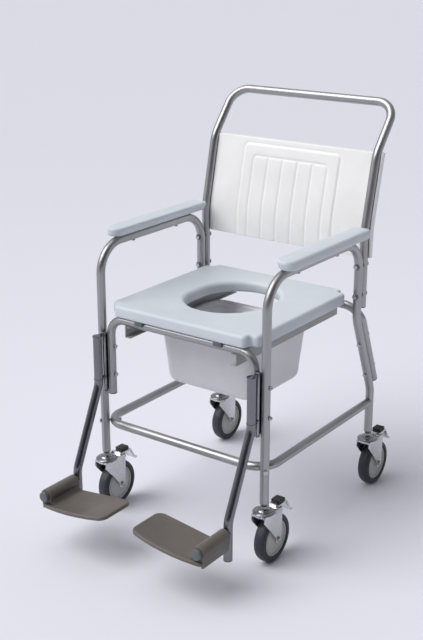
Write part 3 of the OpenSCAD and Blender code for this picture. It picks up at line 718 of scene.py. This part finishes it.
def makeSeat():
    low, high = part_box("seat")
    rim = edgeProfile(low.z, high.z, seat["under"], seat["edge"], seat["flat"])
    lip = edgeProfile(low.z, high.z, seat["lipUnder"], seat["lip"], seat["flat"])
    wall = lofted("seat_wall", [[(*p, z) for p in seatOutline(d)] for d, z in rim])
    throat = lofted("seat_throat", [[(*p, z) for p in holeOutline(d)] for d, z in lip])
    pad = join([wall, throat], "seat_moulding")
    for height in (low.z, high.z):
        pick(pad, "edges", lambda e: e.is_boundary and abs(middle(e).z - height) < tiny)
        bpy.ops.mesh.bridge_edge_loops()
        bpy.ops.object.mode_set(mode="OBJECT")
    turnOut(pad)
    finishPiece(pad, "seat", finishes["pad_vinyl"], seat["smooth"])


armPad = {"nose": 0.026, "heel": 0.012, "edge": 0.009, "under": 0.005, "waist": 0.80, "waistLong": 0.975,
          "cornerSteps": 9, "smooth": 40}


def makeArmPad():
    low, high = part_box("right_arm_pad")
    nose, heel = armPad["nose"], armPad["heel"]
    edge = rounded([(low.x, low.y, nose), (high.x, low.y, nose), (high.x, high.y, heel), (low.x, high.y, heel)],
                   armPad["cornerSteps"])
    pad = outline("right_arm_rest", [(*p, low.z) for p in edge])
    thicken(pad, (0, 0, high.z - low.z))
    # the underside is narrower, most of it on the inner side
    pick(pad, "faces", lambda f: abs(middle(f).z - low.z) < 0.0005)
    bpy.ops.transform.resize(value=(armPad["waist"], armPad["waistLong"], 1),
                             center_override=(high.x, (low.y + high.y) / 2, low.z))
    bpy.ops.object.mode_set(mode="OBJECT")
    bevelEdges(pad, lambda e: folded(e) and middle(e).z > high.z - 0.001, armPad["edge"], 6)
    bevelEdges(pad, lambda e: folded(e) and middle(e).z < low.z + 0.001, armPad["under"], 3)
    evenShading(pad)
    other = mirrored(pad, "left_arm_rest")
    for side, piece in (("right", pad), ("left", other)):
        finishPiece(piece, side + "_arm_pad", finishes["pad_vinyl"], armPad["smooth"])


# back panel

panel = {"columns": 134, "rows": 66, "lean": 12.9, "leanFrom": 0.751, "ease": 0.02, "thick": 0.0145,
         # half width, drop from the top, corner
         "outer": (0.148, 0.015, 0.014), "inner": (0.115, 0.046, 0.010),
         "channels": (-0.069, -0.023, 0.023, 0.069), "weld": 0.0016, "weldWidth": 0.003,
         "step": 0.0018, "stepWidth": 0.004, "rim": 0.0035, "tubeGap": 0.0006, "bendReach": 0.05,
         "halfWidth": 0.235, "heldRim": 0.009, "heldWeld": 0.0028, "pressure": 3.0, "cap": 0.005, "frames": 20}


def panelFront(z):
    d = z - panel["leanFrom"]
    return math.tan(math.radians(panel["lean"])) * (d + math.hypot(d, panel["ease"])) / 2


def archDistance(x, z, top, arch):
    # signed distance from an arch that is open at the bottom: positive inside it
    half, drop, corner = arch
    dx, dz = half - abs(x), top - drop - z
    if dx < corner and dz < corner:
        return corner - math.hypot(corner - dx, corner - dz)
    return min(dx, dz)


def seamDistance(x, z, top):
    found = [abs(archDistance(x, z, top, panel["outer"])), abs(archDistance(x, z, top, panel["inner"]))]
    if z < top - panel["inner"][1]:
        found += [abs(x - c) for c in panel["channels"]]
    return min(found)


def makeBackPanel():
    low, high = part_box("back_panel")
    width, top, bottom = high.x - low.x, high.z, low.z
    deselect()
    bpy.ops.mesh.primitive_grid_add(x_subdivisions=panel["columns"], y_subdivisions=panel["rows"], size=1)
    skin = bpy.context.object
    skin.name = "back_panel_skin"
    for v in skin.data.vertices:
        z = bottom + (v.co.y + 0.5) * (top - bottom)
        v.co = (v.co.x * width, low.y + panelFront(z), z)
    rest = [v.co.copy() for v in skin.data.vertices]
    puffSkin(skin, rest, top, bottom)
    modify(skin, "SUBSURF", levels=1, render_levels=1, boundary_smooth="PRESERVE_CORNERS")
    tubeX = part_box("right_side_frame")[1].x - tubeR
    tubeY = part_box("back_frame")[0].y + tubeR
    for v in skin.data.vertices:
        x, z = v.co.x, v.co.z
        inwards = archDistance(x, z, top, panel["outer"])
        groove = math.exp(-(seamDistance(x, z, top) / panel["weldWidth"]) ** 2) * panel["weld"]
        step = panel["step"] * max(0.0, min(1.0, inwards / panel["stepWidth"] + 0.5))
        y = v.co.y + groove - step
        clear = (tubeR + panel["tubeGap"]) ** 2 - (abs(x) - tubeX) ** 2
        if clear > 0:  # the vinyl lies against the upright
            lean = panelFront(z) if z > panel["leanFrom"] - panel["bendReach"] else 0
            y = max(y, tubeY + lean + math.sqrt(clear))
        v.co.y = y
    thicken(skin, (0, panel["thick"], 0))
    for v in skin.data.vertices:  # the back is flat
        flat = low.y + panelFront(v.co.z) + panel["thick"]
        if v.co.y > flat - panel["thick"] * 0.3:
            v.co.y = flat
    bevelEdges(skin, lambda e: folded(e, 1.0) and onRim(middle(e), low, high), panel["rim"], 3)
    finishPiece(skin, "back_panel", finishes["panel_vinyl"], 50)


def onRim(spot, low, high, near=0.001):
    return abs(abs(spot.x) - high.x) < near or abs(spot.z - low.z) < near or abs(spot.z - high.z) < near


def puffSkin(skin, rest, top, bottom):
    # the weld lines and the rim are held while air pressure lifts the vinyl between them
    held = skin.vertex_groups.new(name="held")
    for v in skin.data.vertices:
        x, z = v.co.x, v.co.z
        nearRim = min(z - bottom, top - z, panel["halfWidth"] - abs(x)) < panel["heldRim"]
        if nearRim or seamDistance(x, z, top) < panel["heldWeld"]:
            held.add([v.index], 1.0, "REPLACE")
    grab(skin)
    cloth = skin.modifiers.new("cloth", "CLOTH")
    cloth.settings.quality = 6
    cloth.settings.mass = 0.15
    cloth.settings.tension_stiffness = 25
    cloth.settings.compression_stiffness = 25
    cloth.settings.shear_stiffness = 10
    cloth.settings.bending_stiffness = 0.6
    cloth.settings.vertex_group_mass = "held"
    cloth.settings.use_pressure = True
    cloth.settings.uniform_pressure_force = panel["pressure"]
    cloth.settings.effector_weights.gravity = 0
    cloth.collision_settings.use_collision = False
    cloth.point_cache.frame_end = panel["frames"]
    for frameNumber in range(1, panel["frames"] + 1):
        bpy.context.scene.frame_set(frameNumber)
    bpy.ops.object.modifier_apply(modifier=cloth.name)
    bpy.context.scene.frame_set(1)
    lifted = 0.0
    for v, start in zip(skin.data.vertices, rest):
        move = v.co - start
        if move.length > panel["cap"]:
            v.co = start + move * (panel["cap"] / move.length)
        lifted = max(lifted, move.length)
    skin.vertex_groups.clear()
    print("back panel puffed by up to", round(lifted * 1000, 1), "mm")


# pan

pan = {"corner": 0.040, "footCorner": 0.034, "wallCorner": 0.036, "rimCorner": 0.044, "taper": 0.014,
       "rimWide": 0.014, "rimDown": 0.006, "wall": 0.0028, "footBend": 0.024, "step": 0.0022, "stepDown": 0.014,
       "ease": 0.002, "edge": 0.0009, "cornerSteps": 9, "bendSteps": 7}


def makePan():
    low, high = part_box("commode_pan")
    centreY = (low.y + high.y) / 2
    halfX, halfY = high.x - pan["rimWide"], (high.y - low.y) / 2 - pan["rimWide"]
    deep, bend, wall = high.z - low.z, pan["footBend"], pan["wall"]

    def ring(inset, height, corner):
        x, y = halfX - inset, halfY - inset
        spots = rounded([(x, -y, corner), (x, y, corner), (-x, y, corner), (-x, -y, corner)],
                        pan["cornerSteps"])
        return [(p.x, p.y + centreY, height) for p in spots]

    rings = []
    for k in range(pan["bendSteps"] + 1):  # rounded foot of the wall
        turn = math.pi / 2 * k / pan["bendSteps"]
        draw = bend * (1 - math.sin(turn))
        rise = bend * (1 - math.cos(turn))
        rings.append(ring(pan["taper"] * (1 - rise / deep) + draw, low.z + rise, pan["footCorner"] - draw / 2))
    for share in (0.3, 0.5, 0.7, 0.86):
        rings.append(ring(pan["taper"] * (1 - share), low.z + deep * share, pan["wallCorner"]))
    underStep, underRim, ease = high.z - pan["stepDown"], high.z - wall, pan["ease"]
    rings.append(ring(pan["step"], underStep - ease, pan["corner"]))
    rings.append(ring(0, underStep, pan["corner"]))
    rings.append(ring(0, underRim - ease, pan["corner"]))
    rings.append(ring(-ease, underRim, pan["corner"] + ease / 2))
    rings.append(ring(wall - pan["rimWide"], underRim, pan["rimCorner"]))
    rings.append(ring(wall - pan["rimWide"], high.z - pan["rimDown"], pan["rimCorner"]))
    shell = lofted("pan_shell", rings, closeStart=True)
    modify(shell, "SOLIDIFY", thickness=wall, offset=1, use_even_offset=True)
    modify(shell, "BEVEL", width=pan["edge"], segments=2, limit_method="ANGLE", angle_limit=math.radians(50))
    finishPiece(shell, "commode_pan", finishes["pan_plastic"], 35)


# footrests

footrest = {"barrel": 0.017, "barrelLength": 0.104, "wall": 0.005, "drop": 0.020, "thick": 0.009,
            "hang": 0.006, "tilt": 7.0, "width": 0.192, "bow": 0.420, "corner": 0.022, "heel": 0.013,
            "cornerSteps": 7, "edge": 0.003, "underEdge": 0.0015, "lip": 0.0036, "lipWide": 0.0022,
            "lipDown": 0.0012, "webFoot": 0.021, "webNeck": 0.0165, "webRise": 0.004, "skin": 0.001,
            "hingeHeight": 0.145, "hingeX": 0.2355}


def makeFootplates():
    f = footrest
    low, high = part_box("right_footplate")
    centreZ, rear = f["hingeHeight"], high.y

    def world(u, v, z):  # u runs inwards from the hinge, v forwards
        return (f["hingeX"] - u, rear - v, centreZ + z)

    middleU, far = f["width"] / 2, high.y - low.y - f["bow"]

    def bowed(u):
        return far + math.sqrt(f["bow"] ** 2 - (u - middleU) ** 2)

    skin, near = f["skin"], 0.0005
    outer = skin - f["barrel"]
    front = [(u, bowed(u), 0) for u in (0.15, 0.12, 0.09, 0.06, 0.03, 0.01)]
    edge = rounded([(outer, skin, f["heel"]), (f["width"], skin, f["corner"]),
                    (f["width"], bowed(f["width"]), f["corner"]), *front, (outer, bowed(outer), f["heel"])],
                   f["cornerSteps"])
    plate = outline("right_footplate_moulding", [world(p.x, p.y, -f["drop"]) for p in edge])
    thicken(plate, (0, 0, -f["thick"]))
    top, under = centreZ - f["drop"], centreZ - f["drop"] - f["thick"]
    bevelEdges(plate, lambda e: folded(e, 1.0) and middle(e).z > top - near, f["edge"], 4)
    bevelEdges(plate, lambda e: folded(e, 1.0) and middle(e).z < under + near, f["underEdge"], 2)
    pick(plate, "faces", lambda face: face.normal.z > 0.99 and face.calc_area() > 0.005)
    bpy.ops.mesh.inset(thickness=f["lip"], depth=0)
    bpy.ops.mesh.inset(thickness=f["lipWide"], depth=-f["lipDown"])
    bpy.ops.object.mode_set(mode="OBJECT")

    # barrel over the hinge, the web down to the plate, and the skirt down its outer side to below the plate
    r, down, root = f["barrel"], -f["drop"] - f["thick"] - f["hang"], -f["drop"] - skin
    around = [(r * math.cos(a), r * math.sin(a)) for a in (math.tau * k / 40 for k in range(40))]
    web = [(f["webFoot"], root), (f["webNeck"], root + f["webRise"]), (r * 0.82, -r * 0.57), (0, 0),
           (outer, 0), (outer, root)]
    skirt = [(-r, 0), (-r, down), (f["wall"] - r, down), (f["wall"] - r, 0)]
    pieces = [plate]
    for profile, start, soft in ((around, 0.0005, 0.0012), (web, 0.0012, 0.0004), (skirt, 0.0009, 0.0011)):
        part = outline("barrel", [world(u, start, z) for u, z in profile])
        thicken(part, (0, -f["barrelLength"] + 2 * start, 0))
        bevelEdges(part, lambda e: folded(e, 1.0), soft, 3)
        pieces.append(part)
    plate = join(pieces, "right_footplate_moulding")
    evenShading(plate)
    turnOut(plate)
    hinge = Matrix.Translation((f["hingeX"], 0, centreZ))
    plate.data.transform(hinge @ Matrix.Rotation(math.radians(f["tilt"]), 4, "Y") @ hinge.inverted())
    other = mirrored(plate, "left_footplate_moulding")
    finishPiece(plate, "right_footplate", finishes["footplate_plastic"], 30)
    finishPiece(other, "left_footplate", finishes["footplate_plastic"], 30)


hanger = {"top": 0.5075, "bendHigh": 0.376, "bendLow": 0.172, "end": 0.075, "back": 0.026, "reach": 0.130,
          "bend": 0.060, "lugHeights": (0.504, 0.388), "lugThick": 0.0036, "lugArm": 0.0045, "lugEye": 0.007,
          "lugSleeve": 0.001, "neck": (0.008, 0.012), "lugEdge": 0.0007, "axle": 0.009, "collar": 0.0118}


def makeHangers():
    h = hanger
    pin = (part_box("right_hinge_pin")[0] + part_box("right_hinge_pin")[1]) / 2
    x, nearY, farY = pin.x, pin.y - h["back"], frontY - h["reach"]
    tube = sweep("right_hanger_bend", bentPath([(x, nearY, h["top"]), (x, nearY, h["bendHigh"]),
                                                (x, farY, h["bendLow"]), (x, farY, h["end"])], h["bend"]))
    pieces = [tube]
    eye, arm, sleeve = h["lugEye"], h["lugArm"], tubeR + h["lugSleeve"]
    necks = [pin.y - depth for depth in h["neck"]]
    for height in h["lugHeights"]:
        spots = [(x + eye * math.cos(a), pin.y + eye * math.sin(a))
                 for a in (math.radians(d) for d in range(-30, 211, 12))]
        spots += [(x - arm, y) for y in necks]
        spots += [(x + sleeve * math.cos(a), nearY + sleeve * math.sin(a))
                  for a in (math.radians(d) for d in range(150, 391, 12))]
        spots += [(x + arm, y) for y in reversed(necks)]
        lug = outline("lug", [(*spot, height) for spot in spots])
        thicken(lug, (0, 0, h["lugThick"]))
        bevelEdges(lug, lambda e: folded(e, 1.0), h["lugEdge"], 2)
        pieces.append(lug)
    # stub axle through the footplate's barrel, with the weld round its root
    axleZ, front = footrest["hingeHeight"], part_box("right_footplate")[0].y
    root, tip = farY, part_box("right_axle_cap")[1].y
    r, weld = h["axle"], h["collar"]
    steps = [(0, 0.006), (weld, 0.006), (weld + 0.0014, tubeR - 0.0045), (weld + 0.0008, tubeR - 0.001),
             (weld - 0.001, tubeR + 0.0012), (r + 0.0004, tubeR + 0.0022), (r, tubeR + 0.004), (r, root - tip),
             (0, root - tip)]
    axle = spun("axle", [(radius, -distance) for radius, distance in steps], (x, root, axleZ), "Y", 48)
    pieces.append(axle)
    whole = join(pieces, "right_hanger_bend")
    other = mirrored(whole, "left_hanger_bend")
    finishPiece(whole, "right_hanger_tube", finishes["hanger_chrome"], 32)
    finishPiece(other, "left_hanger_tube", finishes["hanger_chrome"], 32)


# castors

castor = {"tyre": 0.0625, "shoulder": 0.055, "half": 0.0152, "seatR": 0.0462, "trail": 0.037, "race": 0.1465,
          "smooth": 50}


def makeWheel(corner):
    low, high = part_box(corner + "_tyre")
    centre = (low + high) / 2
    c = castor
    # radius and half width, from the seat on the rim, over the side's bead, to the shoulder
    side = [(c["seatR"], 0.0126), (0.0470, 0.0142), (0.0482, 0.0153), (0.0505, 0.0158), (0.0523, 0.0154),
            (0.0530, 0.0146), (0.0538, 0.0148)]
    side += [(c["shoulder"] + (c["tyre"] - c["shoulder"]) * math.sin(a), c["half"] * math.cos(a) ** 0.85)
             for a in (math.pi / 2 * k / 9 for k in range(9))]
    tread = [(c["tyre"], 0)]
    loop = side + tread + [(r, -d) for r, d in reversed(side)]
    tyre = spun(corner + "_tyre_rubber", loop, centre, "X", 72)
    finishPiece(tyre, corner + "_tyre", finishes["tyre_rubber"], c["smooth"])
    # from the axle's bore over the hub, the dished disc and the rim's two steps
    face = [(0.00406, 0.0172), (0.0085, 0.0172), (0.0105, 0.0166), (0.0120, 0.0130), (0.0135, 0.0122),
            (0.0365, 0.0118), (0.0378, 0.0112), (0.0384, 0.0094), (0.0402, 0.0092), (0.0410, 0.0106),
            (0.0418, 0.0122), (0.0432, 0.0127), (0.0452, 0.0126), (0.0461, 0.0118)]
    rim = spun(corner + "_rim_disc", face + [(r, -d) for r, d in reversed(face)], centre, "X", 64)
    finishPiece(rim, corner + "_rim", finishes["rim_plastic"], c["smooth"])


def makeSwivels():
    # stem nut, ball race and collar, turned in one profile; one of each over every castor
    base = castor["race"]
    profile = [(0, -0.0145), (0.0070, -0.0145), (0.0080, -0.0135), (0.0080, -0.0105), (0.0050, -0.0103),
               (0.0050, 0.0002), (0.0276, 0.0002), (0.0285, 0.0010), (0.0285, 0.0024), (0.0277, 0.0034),
               (0.0250, 0.0042), (0.0240, 0.0050), (0.0222, 0.0058), (0.0190, 0.0063), (0.0172, 0.0074),
               (0.0160, 0.0094), (0.0148, 0.0101), (0.0108, 0.0104), (0.0092, 0.0111), (0.0086, 0.0125),
               (0.0086, 0.0215), (0.0094, 0.0228), (0.0108, 0.0233), (0.0111, 0.0240), (0.0111, 0.0264),
               (0.0094, 0.0267), (0, 0.0267)]
    heads = []
    for corner in corners:
        low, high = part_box(corner + "_tyre")
        spot = ((low.x + high.x) / 2, (low.y + high.y) / 2 - castor["trail"], base)
        heads.append(spun("swivel", profile, spot, "Z", 48))
    finishPiece(join(heads, "swivel_heads"), "castor_stems", finishes["chrome_steel"], 40)


# fittings: frame nodes with their edges broken

easing = {"arm_pad_screws": 0.0006, "back_saddles": 0.0008, "back_frame_bolts": 0.0005,
          "front_hoop_bolts": 0.0005, "rear_hoop_bolts": 0.0005, "brace_bolts": 0.0005,
          "tube_end_plugs": 0.0008, "runner_screws": 0.0004, "seat_clips": 0.0006}
sideEasing = {"_pan_runner": 0.0004, "_hinge_bracket": 0.0008, "_hinge_pin": 0.0006, "_hanger_plug": 0.0010,
              "_axle_cap": 0.0014}
castorEasing = {"_fork": 0.0009, "_axle": 0.0006, "_brake_pedal": 0.0006, "_pedal_insert": 0.0004}


def makeFittings():
    for node, width in easing.items():
        eased(node, width)
    for side in sides:
        for part, width in sideEasing.items():
            eased(side + part, width)
    for corner in corners:
        for part, width in castorEasing.items():
            eased(corner + part, width)


makeCamera()
makeStudio()
makeTubes()
print("tubes bent")
makeSeat()
makeArmPad()
makeBackPanel()
print("padded pieces made")
makePan()
makeFootplates()
makeHangers()
print("pan and footrests made")
for corner in corners:
    makeWheel(corner)
makeSwivels()
print("castors made")
makeFittings()
print("fittings finished")
